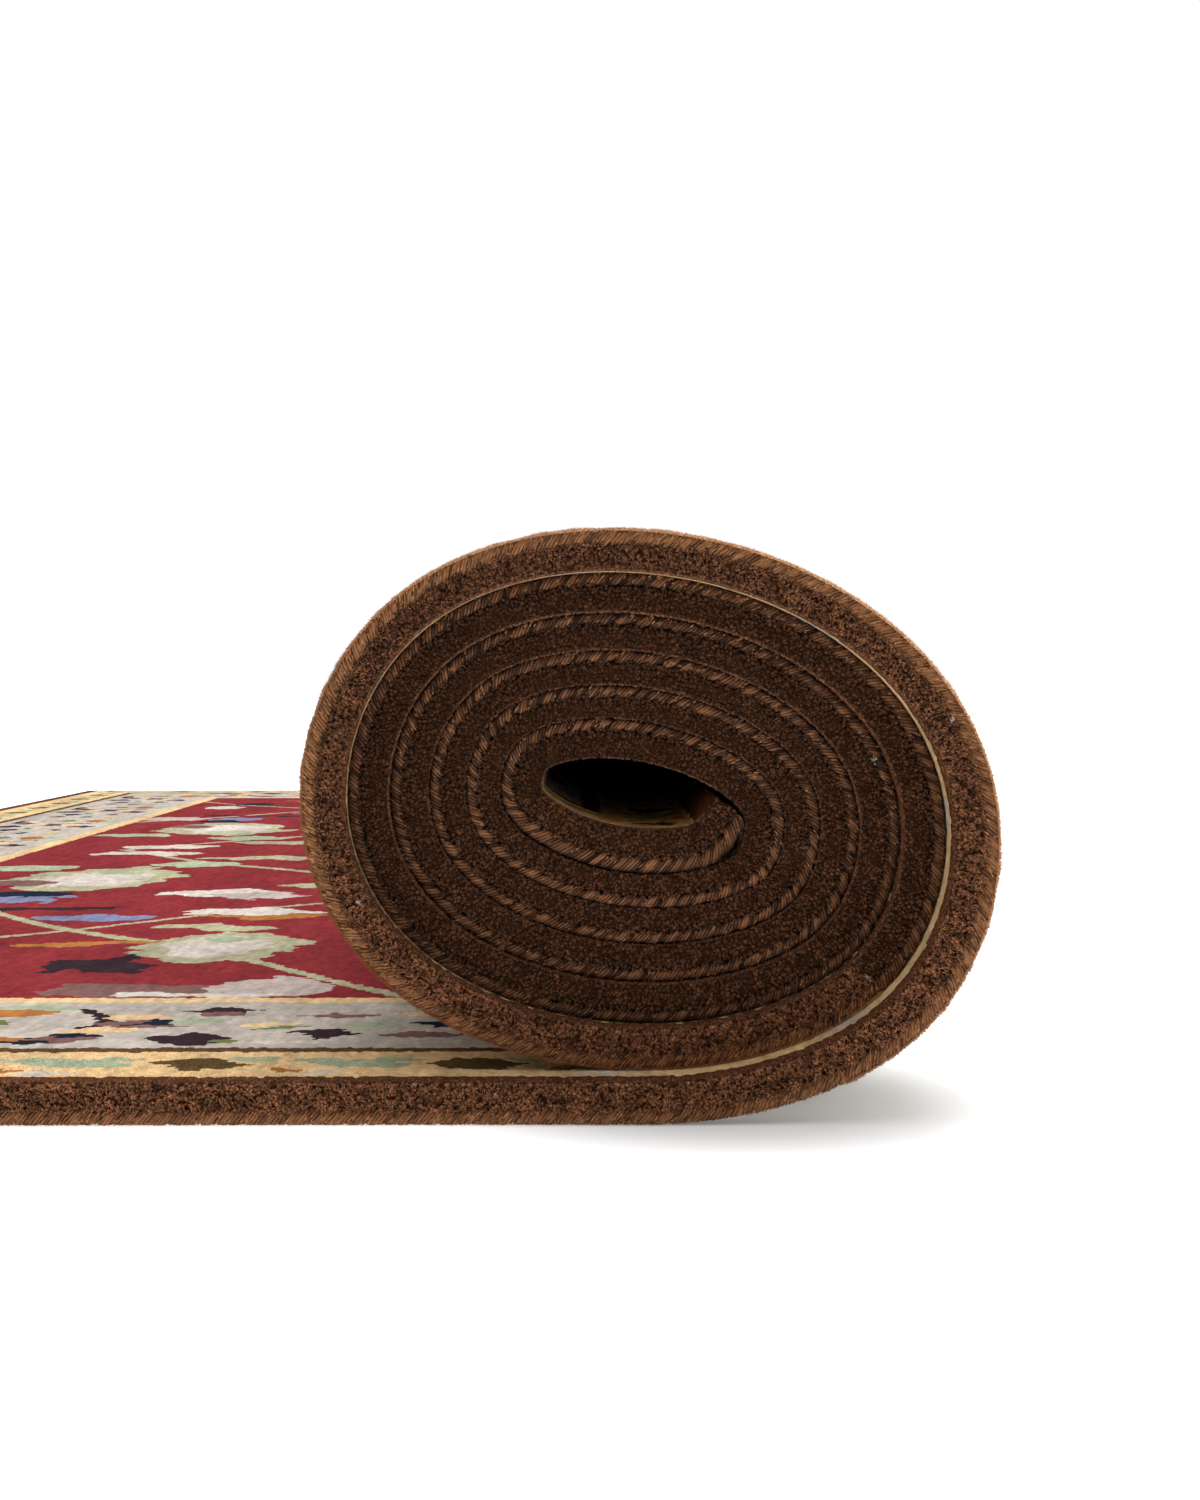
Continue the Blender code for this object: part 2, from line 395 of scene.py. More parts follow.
STRAND = 1.2            # one strand of overcasting yarn, drawn coarser than its 0.8 mm to show
COARSE_STEP = 1.8       # between the rings of a bead whose strands aren't modelled
WRAP = 4.6              # one wrap of about four strands
WRAP_SLANT = 0.8        # how far along the edge a strand leans for each millimetre of height
SECTION_POINTS = 12
SQUARENESS = 0.7        # of the bead's section: 1 is an oval, and less is squarer
END_SLACK = 1.3         # the bead hangs this much lower where the inner end lifts
NEAT_FROM_TURN = 1.5    # the wraps lie more regular from this turn inwards,
NEAT_OVER_TURNS = 2.0   # and fully so after this many more


def bead_section():
    """The bead's squarish section, (in from the edge, share of its height), and its outward directions."""
    turn = 2 * math.pi * np.arange(SECTION_POINTS) / SECTION_POINTS
    outward = np.stack([-np.cos(turn), np.sin(turn)], axis=-1)
    squared = np.sign(outward) * np.abs(outward) ** SQUARENESS
    return np.stack([BEAD_WIDTH / 2 * (1 + squared[:, 0]), 0.5 * (1 + squared[:, 1])], axis=-1), outward


def make_overcast(name, length, spot, row_step, neatness, yarn, node):
    """A bead of yarn wrapped over a cut edge. spot makes a flat place of (along, in from the edge, up)."""
    section, outward = bead_section()
    rows = int(length / row_step) + 1
    s = np.linspace(0.0, length, rows)[:, None]
    still = np.zeros(rows)
    wander = bumps(s[:, 0], still, 16.0, 7)[:, None]
    uneven = bumps(s[:, 0], still, 2.7, 9)[:, None]
    yarn_tone = bumps(s, section[:, 1] + 0 * s, 1.9, 13)
    neat = neatness(s)
    wrap = np.abs(np.sin(math.pi * (s / WRAP + 0.8 * wander)))
    strand = np.where(np.arange(rows) % 2 == 0, 1.0, -1.0)[:, None] if row_step < STRAND else 0.0 * s
    strand = strand * (0.8 + 0.5 * bumps(s, 0.0 * s, 3.7, 15))
    upward = np.clip(outward[:, 1], 0.0, 1.0)
    # how far the yarn stands out: its wraps, its unevenness and its strands
    swell = ((wrap ** 0.8 - 0.65) * (0.15 + 1.35 * upward * neat) + uneven * (0.45 - 0.1 * neat)
             + strand * (0.24 - 0.04 * neat) + 0.15)
    flat_place = spot(s, 0.0 * s, 0.0 * s)[0]
    height = bead_height(flat_place)
    turn = RUG.turn(flat_place)
    slack = END_SLACK * ease(turn, LIFT_FROM_TURN, LIFT_EASE_TURNS)
    in_from = section[:, 0] + outward[:, 0] * swell
    up = section[:, 1] * height + outward[:, 1] * swell - slack * np.clip(-outward[:, 1], 0.0, 1.0)
    lowest = np.where(spot(s, in_from, up)[0] < ON_FLOOR, 0.02, -0.35 - slack)
    up = np.maximum(up, lowest)
    leaning = np.clip(s + WRAP_SLANT * (up - height / 2), 0.0, length)
    along, across, height = spot(leaning, in_from, up)
    points = RUG.place(along, across, height)
    flat = np.stack(np.broadcast_arrays(across * MM, along * MM, height * MM), axis=-1)
    # shade: under the outermost turn, on each turn's hanging half and round the bead's underside
    under = ease(turn, 0.9, 0.3) * (1 - ease(turn, 1.8, 1.6))
    hanging = (0.5 - 0.5 * np.cos(2 * math.pi * turn)) * ease(turn, 1.0, 0.5)
    shaded = 0.3 * under + 0.26 * neat + 0.14 * hanging + 0.9 * np.clip(-outward[:, 1] - 0.45, 0.0, 1.0)
    # Painted light and shade: lighter on the tops of the wraps, strands and lumps, darker between them, in
    # the shade listed above and on the neat inner turns; yarn_tone adds the yarn's own tone at random.
    painted_light_and_tone = np.clip(0.48 + (0.42 * wrap - 0.24) * neat + 0.34 * strand + 0.16 * uneven + 0.4 * yarn_tone
                    - shaded, 0.0, 1.0)
    run = np.broadcast_to(s * MM, up.shape)
    girth = np.broadcast_to(np.arange(SECTION_POINTS), up.shape)
    faces = grid_faces(rows, SECTION_POINTS, closed=True)
    piece = make_piece(name, points.reshape(-1, 3), faces, [yarn], flat.reshape(-1, 3),
                       values={"painted_light_and_tone": painted_light_and_tone, "run": run, "girth": girth})
    close_ends(piece, rows, SECTION_POINTS)
    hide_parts(node)
    return piece


def make_bindings(yarn):
    """The overcasting on all four edges."""
    def neat_inside(s):
        return ease(RUG.turn(s), NEAT_FROM_TURN, NEAT_OVER_TURNS)

    def loose(s):
        return 0.0 * s

    return [
        make_overcast("overcast_near", RUG.length, near_side, STRAND / 2, neat_inside, yarn,
                      "overcast_side_near"),
        make_overcast("overcast_far", RUG.length, far_side, COARSE_STEP, neat_inside, yarn,
                      "overcast_side_far"),
        make_overcast("overcast_outer_end", END_SPAN, outer_end, COARSE_STEP, loose, yarn,
                      "overcast_end_outer"),
        make_overcast("overcast_inner_end", END_SPAN, inner_end, COARSE_STEP, loose, yarn,
                      "overcast_end_inner"),
    ]


def mesh_of(name, corners, faces, tip, shade, material):
    """One piece of many small alike shapes. corners are (along, across, up), a row for each shape."""
    along, across, up = corners
    points = RUG.place(along, across, up).reshape(-1, 3)
    flat = np.stack([across * MM, along * MM, up * MM], axis=-1).reshape(-1, 3)
    count, each = along.shape
    made = (np.arange(count)[:, None, None] * each + np.array(faces)[None]).reshape(-1, 3)
    piece = make_piece(name, points, made, [material], flat,
                       values={"tip": np.tile(tip, count), "shade": np.repeat(shade, each)})
    return piece


def make_fibres(name, root, tip, width, shade, material, seed):
    """Fine flat tapered fibres between flat places (along, across, up)."""
    random = np.random.default_rng(seed)
    along, across, up = root
    spin = random.uniform(0, 2 * math.pi, len(along))
    aside, above = width * np.cos(spin), width * np.sin(spin)
    corners = [np.stack([along + aside, along - aside, tip[0]], axis=-1),
               np.stack([across, across, tip[1]], axis=-1),
               np.stack([up + above, up - above, tip[2]], axis=-1)]
    return mesh_of(name, corners, [[0, 1, 2]], [0.0, 0.0, 1.0], shade, material)


# Tufts of cut yarn on an edge face: their spacing, fibres on each, how far they stand out and the fibres'
# half width, how they lean upwards, the darkest and lightest shade, and how far they hang over the bead.
Tufts = namedtuple("Tufts", "pitch fibres length width lean_up dark light overlap")

LOWEST_ROW, HIGHEST_ROW = 2.2, 13.0     # the rows of tufts up the side, as wide as the pile ever gets

# A nub is a low cone: a ring of this many points and one on top.
TUFT_SIDES = 5
NUB_FACES = [[i, (i + 1) % TUFT_SIDES, TUFT_SIDES] for i in range(TUFT_SIDES)]
NUB_TIP = [0.0] * TUFT_SIDES + [1.0]


def ring_turns(random, count):
    return 2 * math.pi * np.arange(TUFT_SIDES) / TUFT_SIDES + random.uniform(0, 2, count)[:, None]


LIT_AT_TURN = 0.08      # just past the foot of each turn its side gets the most light


def own_shade(turn):
    """How far a turn's side lies in its own shade: most at its top, where it faces down."""
    return (0.5 - 0.5 * np.cos(2 * math.pi * (turn - LIT_AT_TURN))) ** 1.5


def edge_tufts(name, spot, start, end, tufts, material, seed):
    """Cut yarn ends over the pile's side: a nub for each tuft, and loose fibres on it."""
    random = np.random.default_rng(seed)
    pitch = tufts.pitch
    column, row = np.meshgrid(np.arange(start, end, pitch), np.arange(LOWEST_ROW, HIGHEST_ROW, pitch * 0.85))
    column = np.ravel(column + (np.round(row / pitch) % 2) * pitch / 2)
    column = column + random.normal(0, 0.22 * pitch, column.shape)
    row = np.ravel(row)
    row = row + random.normal(0, 0.2 * pitch, row.shape)
    place = spot(column, 0.0 * column, row)[0]
    depth = RUG.depth(place)
    ragged = tufts.overlap * (1 + bumps(column, 0.3 * row, 3.0, seed + 2))
    keep = (row < depth - 0.25) & (row > bead_height(place) + 0.1 - ragged)
    column, row, depth = column[keep], row[keep], depth[keep]
    lit = 1 - 0.5 * own_shade(RUG.turn(place[keep]))
    count = len(column)
    reach = tufts.length * random.uniform(0.45, 1.0, count)
    lump = bumps(column, row, 4.5, seed)
    reach = reach + 0.4 * lump
    shade = random.uniform(tufts.dark, tufts.light, count) + 0.3 * tufts.light * lump
    shade = np.clip(shade * lit, 0.0, 1.0)

    # the nub: a ring of points inside the face and one on top, pushed to one side
    turn = ring_turns(random, count)
    radius = 0.66 * pitch * random.uniform(0.7, 1.25, turn.shape) * random.uniform(0.6, 1.35, count)[:, None]
    top_aside, top_above = random.normal(0, 0.2 * pitch, count), random.normal(0, 0.2 * pitch, count)
    ring_up = np.clip(row[:, None] + radius * np.sin(turn), 0.1, (depth - 0.05)[:, None])
    top_up = np.clip(row + top_above + tufts.lean_up * reach, 0.1, depth + 0.05)
    ring_along = column[:, None] + radius * np.cos(turn)
    nub_along = np.concatenate([ring_along, (column + top_aside)[:, None]], axis=1)
    nub_up = np.concatenate([ring_up, top_up[:, None]], axis=1)
    nub_in = np.concatenate([np.full(turn.shape, 1.5), -reach[:, None]], axis=1)
    nubs = mesh_of(name, spot(nub_along, nub_in, nub_up), NUB_FACES, NUB_TIP, shade, material)

    # the fibres
    own = np.stack([column, row, depth, reach, shade])
    column, row, depth, reach, shade = np.repeat(own, tufts.fibres, axis=1)
    count = len(column)
    aside, above = random.normal(0, 0.26 * pitch, count), random.normal(0, 0.26 * pitch, count)
    out = reach * random.uniform(0.1, 0.6, count)
    root = spot(column + aside, -out, np.clip(row + above, 0.1, depth - 0.2))
    swing = random.uniform(0, 2 * math.pi, count)
    length = tufts.length * random.uniform(0.5, 1.4, count)
    tip_up = np.clip(row + above + length * (0.75 * np.sin(swing) + tufts.lean_up), 0.1, depth + 0.25)
    tip = spot(column + aside + 0.75 * length * np.cos(swing), -out - 0.45 * length, tip_up)
    shade = np.clip(shade + random.normal(0.0, 0.3 * tufts.light, count), 0.0, 1.0)
    loose = make_fibres(name + "_fibres", root, tip, tufts.width, shade, material, seed + 1)
    return [nubs, loose]


def shoulder_tufts(name, count, material, seed):
    """The brown pile's level tips between the rounded shoulder and the figured part, in small nubs."""
    random = np.random.default_rng(seed)
    along = random.uniform(2.0, RUG.length - MARGIN, count)
    across = 1.3 + 7.5 * random.uniform(0, 1, count) ** 1.3
    up = RUG.depth(along) - 0.45
    turn = ring_turns(random, count)
    radius = random.uniform(0.5, 1.0, turn.shape)
    reach = random.uniform(0.45, 1.0, count)
    nub_along = np.concatenate([along[:, None] + radius * np.cos(turn), along[:, None]], axis=1)
    nub_across = np.concatenate([across[:, None] + radius * np.sin(turn), across[:, None] - 0.3], axis=1)
    nub_up = np.concatenate([np.repeat(up[:, None], TUFT_SIDES, axis=1), (up + reach)[:, None]], axis=1)
    return mesh_of(name, (nub_along, nub_across, nub_up), NUB_FACES, NUB_TIP,
                   random.uniform(0.0, 0.45, count), material)


def yarn_fuzz(name, spot, start, end, count, length, width, material, seed):
    """Loose fibres lying along the overcasting's strands."""
    random = np.random.default_rng(seed)
    s = random.uniform(start, end, count)
    turn = random.uniform(-2.2, 1.6, count)
    direction = np.stack([-np.cos(turn), np.sin(turn)], axis=-1)
    squared = np.sign(direction) * np.abs(direction) ** SQUARENESS
    height = bead_height(spot(s, 0.0 * s, 0.0 * s)[0])
    place = np.stack([BEAD_WIDTH / 2 * (1 + squared[:, 0]), height / 2 * (1 + squared[:, 1])], axis=-1)
    place = place + 0.1 * direction
    along_strand = np.stack([np.sin(turn), np.cos(turn)], axis=-1)
    along_strand = along_strand * random.choice([-1.0, 1.0], count)[:, None]
    reach = length * random.uniform(0.5, 1.2, count)[:, None]
    lift = random.uniform(0.1, 0.75, count)[:, None] ** 1.5
    tip = place + reach * (along_strand + lift * direction)
    lowest = np.where(s < FUZZ_ON_FLOOR, 0.05, -0.5)
    tip[:, 1] = np.maximum(tip[:, 1], lowest)
    tip_s = s + WRAP_SLANT * (tip[:, 1] - place[:, 1]) + random.normal(0, 0.25, count)
    root_at = spot(s, place[:, 0], np.maximum(place[:, 1], 0.1))
    tip_at = spot(tip_s, tip[:, 0], tip[:, 1])
    return make_fibres(name, root_at, tip_at, width, random.uniform(0, 1, count), material,
                       seed + 1)


def rim_fuzz(name, start, end, count, material, seed):
    """Fine fibres standing out from the outermost turn, round its back's near edge."""
    random = np.random.default_rng(seed)
    along = random.uniform(start, end, count)
    across = 9.0 * random.uniform(0, 1, count) ** 1.5
    out = (0.95 + 0.5 * bumps(along, 0.0 * along, 9.0, seed)) * random.uniform(0.25, 1.0, count) ** 1.6
    # painted back light, strongest between the roll's right side and its top
    lit = 0.5 + 0.5 * np.cos(2 * math.pi * (RUG.turn(along) - 0.38))
    tip = (along + random.normal(0, 0.5, count) + 0.4 * out, across - random.uniform(0.0, 0.9, count), -out)
    return make_fibres(name, (along, across, np.full(count, 0.4)), tip, 0.2,
                       lit * random.uniform(0.3, 1, count), material, seed + 1)


# Specks of pale lint caught on the side: the turn, and how far up from the back.
LINT = ((0.331, 4.8), (2.322, 3.0), (0.83, 9.0), (1.12, 6.5))
LINT_FIBRES = 16        # in each speck


def lint_specks(name, material, seed):
    random = np.random.default_rng(seed)
    count = len(LINT) * LINT_FIBRES
    along = np.repeat([RUG.along_at_turn(turn) for turn, up in LINT], LINT_FIBRES)
    along = along + random.normal(0, 0.45, count)
    up = np.repeat([up for turn, up in LINT], LINT_FIBRES) + random.normal(0, 0.45, count)
    across = np.full(count, -1.1)
    swing = random.uniform(0, 2 * math.pi, count)
    reach = random.uniform(0.3, 1.2, count)
    tip = (along + reach * np.cos(swing), across - random.uniform(0, 0.4, count),
           up + reach * np.sin(swing))
    return make_fibres(name, (along, across, up), tip, 0.18, np.ones(count), material,
                       seed + 1)


def pile_tips(name, count, material, seed):
    """The level tips of the cut pile along the flat end's near edge."""
    random = np.random.default_rng(seed)
    along = random.uniform(1.0, OFF_FLOOR, count)
    across = 1.8 + 62.0 * random.uniform(0, 1, count) ** 1.4
    up = RUG.depth(along) - 0.35
    tip = (along + random.normal(0, 0.4, count), across + random.normal(-0.1, 0.4, count),
           up + random.uniform(0.4, 0.8, count))
    return make_fibres(name, (along, across, up), tip, 0.22, random.uniform(0, 1, count), material,
                       seed + 1)


def near_side(s, in_from, up):
    return s, in_from, up


def far_side(s, in_from, up):
    return s, RUG_WIDTH - in_from, up


def outer_end(s, in_from, up):
    return in_from, MARGIN + s, up


def inner_end(s, in_from, up):
    return RUG.length - in_from, MARGIN + s, up


def make_fuzz(edge_wool, yarn_wool, rim, lint, pile):
    """Every tuft and fibre piece: the pile's sides, the overcasting, and the pile's tips on the flat end."""
    wound = RUG.along_at_turn(OUTSIDE_TURNS)
    end = RUG.length
    # The outside tufts' lighter range is painted light on the outermost turn, and the inside tufts' darker
    # range painted shade on the recessed inner turns and the inner end.
    outside = Tufts(pitch=1.4, fibres=9, length=1.25, width=0.24, lean_up=0.35, dark=0.15, light=0.9,
                    overlap=0.9)
    inside = Tufts(pitch=1.25, fibres=5, length=0.75, width=0.2, lean_up=0.3, dark=0.0, light=0.32,
                   overlap=0.1)
    coarse = Tufts(pitch=2.2, fibres=2, length=1.2, width=0.4, lean_up=0.35, dark=0.1, light=0.6,
                   overlap=0.4)
    return [
        *edge_tufts("edge_pile_outer", near_side, 2.0, wound, outside, edge_wool, 11),
        *edge_tufts("edge_pile_inner", near_side, wound, end, inside, edge_wool, 21),
        *edge_tufts("edge_pile_far", far_side, 2.0, end, coarse, edge_wool, 31),
        *edge_tufts("edge_pile_outer_end", outer_end, 0.0, END_SPAN, coarse, edge_wool, 81),
        *edge_tufts("edge_pile_inner_end", inner_end, -5.0, 260.0, inside, edge_wool, 91),
        shoulder_tufts("edge_pile_shoulder", 17000, edge_wool, 111),
        yarn_fuzz("overcast_fuzz_outer", near_side, 2.0, wound, 26000, 1.9, 0.24, yarn_wool, 41),
        yarn_fuzz("overcast_fuzz_inner", near_side, wound, end, 9000, 1.2, 0.2, yarn_wool, 51),
        yarn_fuzz("overcast_fuzz_far", far_side, 2.0, end, 16000, 1.9, 0.3, yarn_wool, 61),
        rim_fuzz("rim_fuzz", OFF_FLOOR, wound, 40000, rim, 121),
        lint_specks("lint_specks", lint, 131),
        pile_tips("flat_end_pile_tips", 70000, pile, 71),
    ]


# ---- materials ----

def linear(hex_colour):
    """An sRGB hex colour as linear RGBA."""
    channels = [int(hex_colour[i:i + 2], 16) / 255 for i in (1, 3, 5)]
    return [c / 12.92 if c <= 0.04045 else ((c + 0.055) / 1.055) ** 2.4 for c in channels] + [1.0]


def add(tree, kind, inputs=None, out=0, **settings):
    """Adds a node with its settings, and values or links for its inputs, and returns one of its outputs."""
    node = tree.nodes.new(kind)
    for key, value in settings.items():
        setattr(node, key, value)
    for socket, value in (inputs or {}).items():
        if isinstance(value, bpy.types.NodeSocket):
            tree.links.new(value, node.inputs[socket])
        else:
            node.inputs[socket].default_value = value
    return node.outputs[out]


def calc(tree, operation, *values):
    """A Math node on these numbers or links."""
    return add(tree, "ShaderNodeMath", dict(enumerate(values)), operation=operation)


def blend(tree, share, low, high):
    """A Mix node between two colours."""
    return add(tree, "ShaderNodeMix", {0: share, 6: low, 7: high}, out=2, data_type="RGBA")


def stored(tree, name, out=2):
    """What each point carries under this name: a number, or with out=1 a vector."""
    return add(tree, "ShaderNodeAttribute", out=out, attribute_name=name)


def flat_spot(tree):
    """The place on the flat rug: across, along and up, in millimetres."""
    flat = stored(tree, "flat", out=1)
    return add(tree, "ShaderNodeVectorMath", {0: flat, 3: 1 / MM}, operation="SCALE")


def from_edges(tree, place, width):
    """How far a place is from the nearer of two opposite edges."""
    middle = calc(tree, "SUBTRACT", place, width / 2)
    middle = calc(tree, "ABSOLUTE", middle)
    return calc(tree, "SUBTRACT", width / 2, middle)


def new_material(name, **surface):
    """A material with one Principled shader and these constants on it."""
    material = bpy.data.materials.new(name)
    material.use_nodes = True
    shader = material.node_tree.nodes["Principled BSDF"]
    for key, value in surface.items():
        shader.inputs[key.replace("_", " ")].default_value = value
    return material, material.node_tree, shader


WOOL_IOR = 1.55
TUFT = 2.3              # one tuft of the pile, on the flat rug
FIBRE = 0.3             # a fibre bundle: single fibres are too fine to show, so they are drawn this coarse

GUARD_PATCHES = (
    Patch("round", SAGE, (24, 33), (17, 6), -12),
    Patch("round", SAGE, (11, 40), (10, 4), 6),
    Patch("lozenge", SAGE, (34, 40), (12, 6), 0),
    Patch("lozenge", CREAM, (16, 18), (11, 5), 0),
    Patch("lozenge", LEAF_BROWN, (62, 33), (17, 11), -6),
    Patch("round", LEAF_BROWN, (60, 38), (9, 5), 10),
    Patch("round", SAGE, (80, 41), (10, 3), -8),
    Patch("round", ORANGE_BROWN, (2, 22), (6, 3), 12),
)

BORDER_PATCHES = (
    Patch("round", AUBERGINE, (42, 110), (35, 40), 0),
    Patch("round", CREAM, (38, 114), (31, 37), 0),
    Patch("round", BORDER_BEIGE, (36, 118), (25, 30), 0),
    Patch("round", SAGE, (34, 148), (26, 7), 0),
    Patch("round", ORANGE_BROWN, (34, 136), (18, 9), 6),
    Patch("lozenge", OLIVE, (30, 112), (14, 10), 0),
    Patch("round", GUARD_GOLD, (84, 127), (11, 7), -12),
    Patch("lozenge", MAUVE, (86, 111), (18, 10), -8),
    Patch("lozenge", NAVY, (94, 115), (14, 7), 18),
    Patch("round", GUARD_GOLD, (76, 98), (12, 6), 10),
    Patch("lozenge", MAUVE, (66, 80), (14, 9), 4),
    Patch("lozenge", NAVY, (70, 88), (12, 5), -10),
    Patch("round", ORANGE_BROWN, (48, 78), (9, 5), 0),
    Patch("lozenge", NAVY, (56, 74), (9, 6), 0),
    Patch("lozenge", AUBERGINE, (110, 80), (17, 14), -10),
    Patch("round", OLIVE, (120, 77), (5, 4), -10),
    Patch("lozenge", AUBERGINE, (110, 142), (16, 10), 12),
    Patch("round", MAUVE, (112, 135), (8, 6), 0),
    Patch("round", SAGE, (104, 118), (10, 6), 16),
    Patch("round", GUARD_GOLD, (130, 110), (11, 2.6), 14),
    Patch("round", OLIVE, (136, 104), (12, 2.4), 20),
    Patch("lozenge", AUBERGINE, (153, 92), (13, 11), -8),
    Patch("lozenge", MAUVE, (152, 130), (14, 7), 6),
    Patch("round", SAGE, (166, 110), (9, 7), 30),
    Patch("round", GUARD_GOLD, (180, 134), (9, 5), -20),
    Patch("lozenge", MAUVE, (184, 88), (16, 8), 10),
    Patch("lozenge", NAVY, (190, 112), (12, 6), -14),
    Patch("round", CREAM, (140, 74), (12, 3), 0),
)


def blossom(centre, size, turn):
    """A palmette: a sage outline, a cream body with side lobes, and a pale heart."""
    x, y = centre
    swing = math.radians(turn)

    def offset(across, along):
        return (x + across * math.cos(swing) - along * math.sin(swing),
                y + across * math.sin(swing) + along * math.cos(swing))

    return (
        Patch("round", VINE_GREEN, centre, (size * 0.78, size * 0.5), turn),
        Patch("lozenge", VINE_GREEN, offset(size * 0.35, 0), (size * 0.75, size * 0.62), turn),
        Patch("round", CREAM, offset(size * 0.12, 0), (size * 0.62, size * 0.36), turn),
        Patch("lozenge", WHITE_WOOL, offset(-size * 0.08, 0), (size * 0.5, size * 0.26), turn),
        Patch("round", SAGE, offset(size * 0.55, 0), (size * 0.16, size * 0.2), turn),
    )


FIELD_PATCHES = (
    Patch("round", MAUVE, (192, 216), (20, 36), 4),
    Patch("lozenge", GREY_PINK, (204, 268), (36, 28), 0),
    Patch("round", GREY_PINK, (192, 262), (20, 18), 0),
    Patch("round", WHITE_WOOL, (182, 240), (7, 30), 0),
    *blossom((328, 226), 66, 0),
    Patch("lozenge", AUBERGINE, (278, 184), (34, 18), 22),
    Patch("lozenge", AUBERGINE, (262, 196), (18, 20), -18),
    Patch("round", ORANGE_BROWN, (343, 164), (9, 34), -8),
    Patch("round", ORANGE_BROWN, (232, 108), (8, 26), 6),
    Patch("round", VINE_GREEN, (412, 206), (12, 32), 8),
    Patch("round", LILAC, (458, 142), (14, 30), 4),
    Patch("round", ORANGE_BROWN, (462, 228), (9, 30), -6),
    Patch("round", WHITE_WOOL, (486, 216), (17, 38), 6),
    Patch("round", WHITE_WOOL, (588, 188), (24, 36), 0),
    Patch("lozenge", GREY_PINK, (575, 210), (28, 30), 12),
    Patch("round", AUBERGINE, (500, 96), (9, 52), -5),
    Patch("round", LILAC, (556, 82), (26, 20), 0),
    Patch("round", NAVY, (582, 70), (16, 26), 0),
    *blossom((672, 92), 92, 10),
    Patch("round", MAUVE, (650, 60), (20, 16), 0),
    Patch("round", VINE_GREEN, (640, 252), (18, 40), -10),
    Patch("round", SAGE, (790, 132), (22, 30), 10),
    Patch("round", VINE_GREEN, (842, 176), (16, 44), 0),
    *blossom((868, 262), 70, 180),
    Patch("lozenge", GREY_PINK, (760, 262), (46, 28), 0),
    Patch("round", MAUVE, (742, 330), (26, 22), 0),
    Patch("round", CREAM, (884, 88), (18, 38), 0),
    *blossom((430, 372), 78, -14),
    Patch("round", WHITE_WOOL, (560, 322), (22, 30), 14),
    Patch("lozenge", AUBERGINE, (330, 330), (30, 16), -26),
    Patch("round", LILAC, (640, 392), (24, 22), 0),
    Patch("round", CREAM, (250, 400), (28, 24), 0),
    Patch("round", GREY_PINK, (540, 20), (24, 30), 0),
    Patch("round", CREAM, (360, 40), (26, 22), 0),
    Patch("lozenge", NAVY, (300, 62), (18, 24), 10),
    Patch("round", SAGE, (760, 30), (20, 34), 0),
)

# Vines run slantwise over the field: (in from the long edge where the field starts, slope, half width)
Vine = namedtuple("Vine", "across slope half_width")
VINES = (
    Vine(590.0, -1.25, 6.0),
    Vine(250.0, 1.1, 4.5),
    Vine(980.0, -1.2, 6.0),
)


def paint_patches(tree, ground, spot, patches):
    """Lays patches of yarn over the ground colour, one after another."""
    for patch in patches:
        local = add(tree, "ShaderNodeMapping", {
            "Vector": spot,
            "Location": (*patch.centre, 0.0),
            "Rotation": (0.0, 0.0, math.radians(patch.turn)),
            "Scale": (*patch.half, 1.0),
        }, vector_type="TEXTURE")
        if patch.shape == "lozenge":
            folded = add(tree, "ShaderNodeVectorMath", {0: local}, operation="ABSOLUTE")
            reach = add(tree, "ShaderNodeVectorMath", {0: folded, 1: (1.0, 1.0, 0.0)}, out=1,
                        operation="DOT_PRODUCT")
        else:
            reach = add(tree, "ShaderNodeVectorMath", {0: local}, out=1, operation="LENGTH")
        inside = calc(tree, "LESS_THAN", reach, 1.0)
        ground = blend(tree, inside, ground, linear(patch.colour))
        # The next patch waits for this one, which keeps the shader small enough to run.
        spot = add(tree, "ShaderNodeVectorMath", {0: ground, 1: (0.0, 0.0, 0.0), 2: spot},
                   operation="MULTIPLY_ADD")
    return ground


def ragged(tree, place, spot, size, reach):
    """Shifts a design's place by soft noise, so that drawn shapes get uneven, hand-made outlines."""
    waves = add(tree, "ShaderNodeTexNoise", {"Vector": spot, "Scale": 1 / size, "Detail": 1.0}, out=1)
    shift = add(tree, "ShaderNodeVectorMath", {0: waves, 1: (0.5, 0.5, 0.5)}, operation="SUBTRACT")
    return add(tree, "ShaderNodeVectorMath", {0: shift, 1: (reach, reach, 0.0), 2: place},
               operation="MULTIPLY_ADD")


